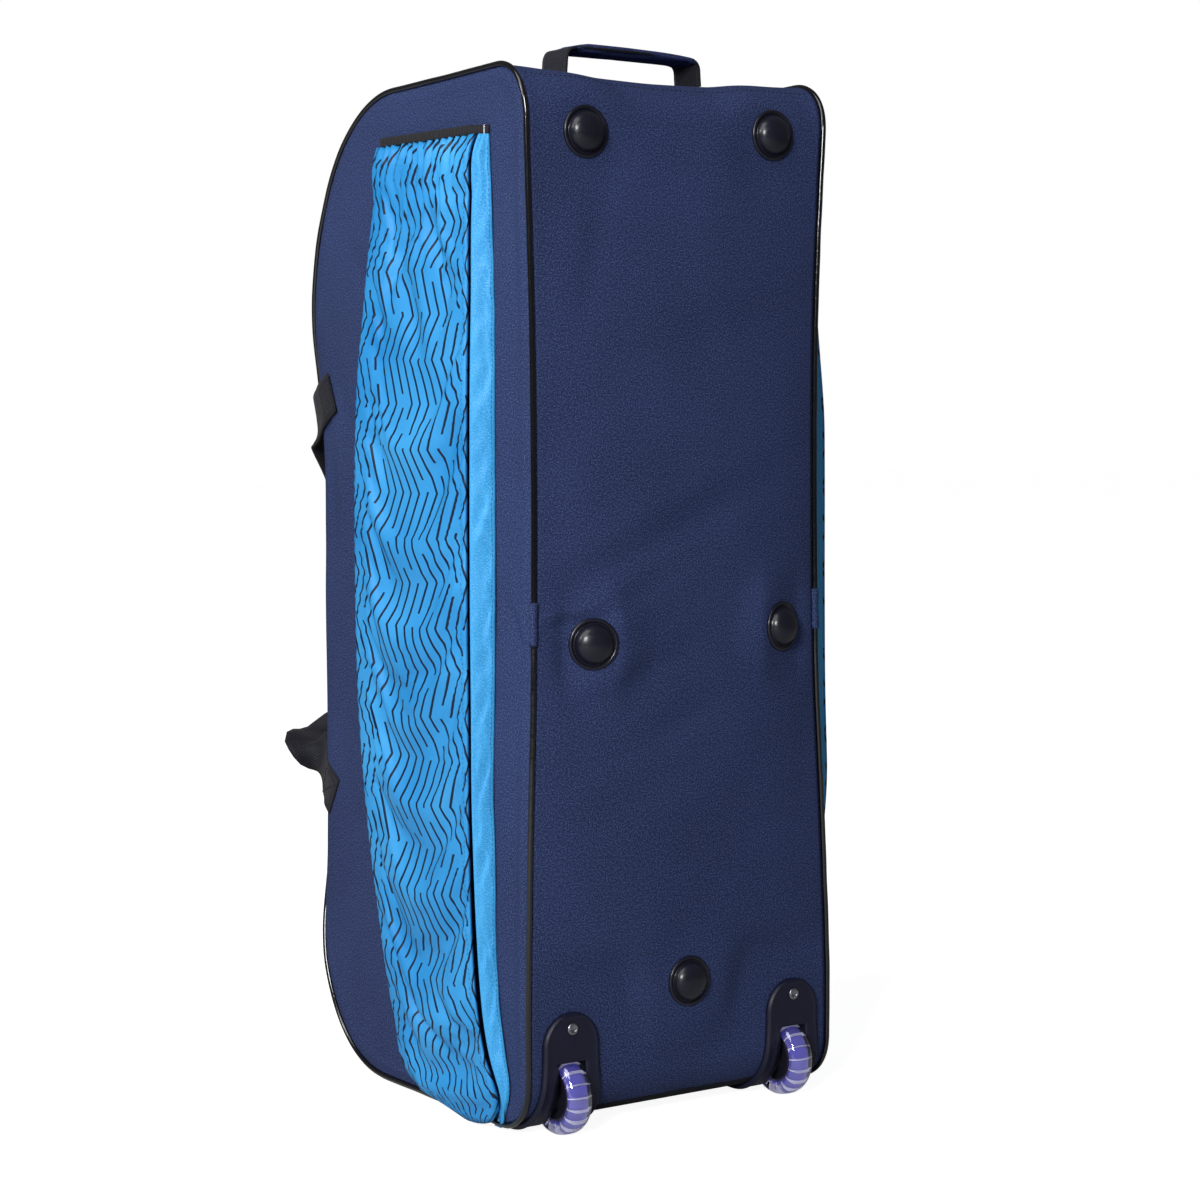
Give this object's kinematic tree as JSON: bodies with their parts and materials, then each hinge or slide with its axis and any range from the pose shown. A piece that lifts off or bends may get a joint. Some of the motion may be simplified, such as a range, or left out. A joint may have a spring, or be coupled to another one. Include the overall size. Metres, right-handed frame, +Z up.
{
  "type": "wheeled kit bag",
  "caption": "Long soft kit bag standing on its wheel end, with a stiff studded base, side pockets, webbing handles and two small wheels.",
  "frame": {"origin": "middle of the footprint on the floor, under the standing bag", "axes": "+Z up the length of the bag, X across its width, the stiff studded base facing -Y"},
  "size_m": [0.4272, 0.4358, 0.9499],
  "materials": {
    "navy_fabric": "matte woven polyester",
    "black_fabric": "matte woven polyester",
    "blue_fabric": "satin printed polyester",
    "webbing": "ribbed woven webbing",
    "piping_cord": "glossy",
    "housing_plastic": "satin moulded",
    "stud_plastic": "glossy moulded",
    "steel": "plain",
    "tyre_plastic": "clear tinted",
    "hub_plastic": "moulded"
  },
  "bodies": {
    "bag": {"base_panel": "navy_fabric", "top_end_panel": "navy_fabric", "lid_panel_left": "navy_fabric", "lid_panel_right": "navy_fabric", "lid_zip": "black_fabric", "bottom_end_panel": "black_fabric", "side_panel_left": "navy_fabric", "piping_left": "piping_cord", "piping_wrap_left": "navy_fabric", "side_panel_right": "navy_fabric", "piping_right": "piping_cord", "piping_wrap_right": "navy_fabric", "foot_top_left": "stud_plastic", "foot_top_right": "stud_plastic", "foot_middle_left": "stud_plastic", "foot_middle_right": "stud_plastic", "foot_bottom": "stud_plastic", "wheel_housing_left": "housing_plastic", "wheel_axle_left": "steel", "housing_rivet_left": "steel", "wheel_housing_right": "housing_plastic", "wheel_axle_right": "steel", "housing_rivet_right": "steel", "top_handle_webbing": "webbing", "top_handle_grip": "navy_fabric", "carry_handle_left": "webbing", "side_pocket_left": "blue_fabric", "pocket_binding_left": "webbing", "carry_handle_right": "webbing", "side_pocket_right": "blue_fabric", "pocket_binding_right": "webbing"},
    "wheel_left": {"wheel_tyre_left": "tyre_plastic", "wheel_hub_left": "hub_plastic"},
    "wheel_right": {"wheel_tyre_right": "tyre_plastic", "wheel_hub_right": "hub_plastic"}
  },
  "joints": [
    {"name": "wheel_left_spin", "type": "hinge", "parent": "bag", "child": "wheel_left", "pos_m": [-0.1342, -0.1828, 0.035], "axis": [1, 0, 0], "continuous": true},
    {"name": "wheel_right_spin", "type": "hinge", "parent": "bag", "child": "wheel_right", "pos_m": [0.1098, -0.1828, 0.035], "axis": [1, 0, 0], "continuous": true}
  ]
}
